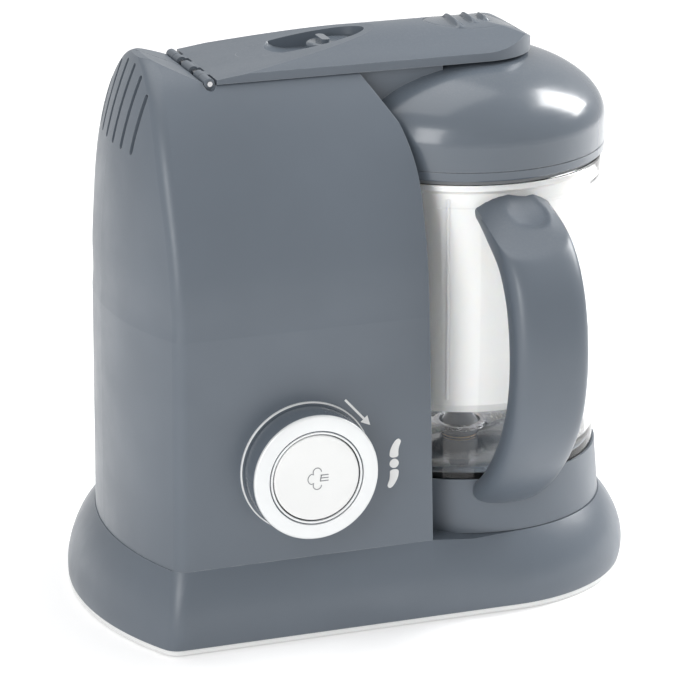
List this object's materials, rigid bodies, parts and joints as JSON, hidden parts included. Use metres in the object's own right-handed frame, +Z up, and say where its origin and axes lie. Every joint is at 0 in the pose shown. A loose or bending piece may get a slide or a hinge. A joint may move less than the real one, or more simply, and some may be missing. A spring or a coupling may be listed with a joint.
{
  "type": "baby food maker",
  "caption": "Countertop steamer and blender with a hollow tower, hinged locking lid, clear jar with a side handle, inner steam basket, chopping blade and a turning knob with a push button.",
  "frame": {"origin": "on the surface the stand rests on, straight below the jar's axis", "axes": "+Z up, -Y towards the knob and the jar's handle, +X from the tower towards the jar"},
  "size_m": [0.2732, 0.2033, 0.2709],
  "materials": {
    "slate_shell": "satin moulded",
    "slate_gloss": "satin gloss moulded",
    "white_plastic": "satin moulded",
    "clear_jar": "clear moulded",
    "cream_basket": "translucent moulded",
    "silver_ring": "satin",
    "dark_plastic": "moulded",
    "black_rubber": "moulded",
    "grey_rubber": "moulded",
    "steel": "ground",
    "zinc": "plated",
    "aluminium": "cast",
    "bronze": "sintered",
    "board_green": "coated"
  },
  "bodies": {
    "housing": {"base_shell": "slate_shell", "bottom_plate": "white_plastic", "rubber_feet": "black_rubber", "base_screws": "zinc", "cable_gland": "black_rubber", "tower_front_shell": "slate_shell", "tower_back_shell": "slate_shell", "shell_screws": "zinc", "hinge_pin": "steel", "motor_bracket": "zinc", "motor_case": "steel", "motor_bush": "bronze", "drive_belt": "black_rubber", "drive_bearing": "dark_plastic", "water_tank": "aluminium", "tank_cover": "aluminium", "neck_ring": "grey_rubber", "heating_element": "steel", "thermostat": "dark_plastic", "steam_nozzle": "grey_rubber", "rotary_switch": "dark_plastic", "circuit_board": "board_green", "knob_bezel": "silver_ring", "bayonet_ring": "dark_plastic"},
    "motor": {"motor_rotor": "steel", "motor_pulley": "dark_plastic"},
    "blade_drive": {"drive_shaft": "steel", "driven_pulley": "dark_plastic", "blade_shaft": "steel", "blade_hub": "dark_plastic", "blade": "steel"},
    "jar": {"jar": "clear_jar", "jar_collar": "slate_shell", "jar_handle": "slate_shell", "blade_bush": "bronze", "basket": "cream_basket"},
    "lid": {"arm_cover": "slate_shell", "arm_base": "slate_shell", "tank_plug": "dark_plastic", "plug_seal": "grey_rubber", "release_spring": "steel", "arm_screws": "zinc", "dome_lid": "slate_gloss", "lid_seal": "grey_rubber", "lid_liner": "white_plastic", "steam_duct": "slate_shell"},
    "lock": {"lock_slider": "slate_gloss"},
    "release": {"release_button": "slate_gloss"},
    "knob": {"knob_body": "slate_gloss", "knob_face": "silver_ring", "button_spring": "steel"},
    "steam_key": {"steam_button": "white_plastic"}
  },
  "joints": [
    {"name": "lid_hinge", "type": "hinge", "parent": "housing", "child": "lid", "pos_m": [-0.1342, 0, 0.2562], "axis": [0, -1, 0], "range_deg": [0, 100]},
    {"name": "lock_slide", "type": "slide", "parent": "lid", "child": "lock", "axis": [-1, 0, 0], "range_m": [0, 0.008]},
    {"name": "release_press", "type": "slide", "parent": "lid", "child": "release", "axis": [0, 0, -1], "range_m": [0, 0.0025], "stiffness_N_per_m": 400, "springref_m": -0.002},
    {"name": "knob_turn", "type": "hinge", "parent": "housing", "child": "knob", "pos_m": [-0.1035, -0.08, 0.0835], "axis": [0, 1, 0], "range_deg": [0, 40], "stiffness_Nm_per_rad": 0.05, "springref_deg": -11.46},
    {"name": "steam_press", "type": "slide", "parent": "knob", "child": "steam_key", "axis": [0, 1, 0], "range_m": [0, 0.0025], "stiffness_N_per_m": 400, "springref_m": -0.002},
    {"name": "jar_twist", "type": "hinge", "parent": "housing", "child": "jar", "pos_m": [0, 0, 0.06], "axis": [0, 0, 1], "range_deg": [0, 30]},
    {"name": "blade_spin", "type": "hinge", "parent": "housing", "child": "blade_drive", "pos_m": [0, 0, 0.04], "axis": [0, 0, 1], "continuous": true},
    {"name": "motor_spin", "type": "hinge", "parent": "housing", "child": "motor", "pos_m": [-0.12, 0.012, 0.04], "axis": [0, 0, 1], "continuous": true}
  ],
  "couplings": [
    {"joint": "motor_spin", "follows": "blade_spin", "ratio": 3}
  ]
}
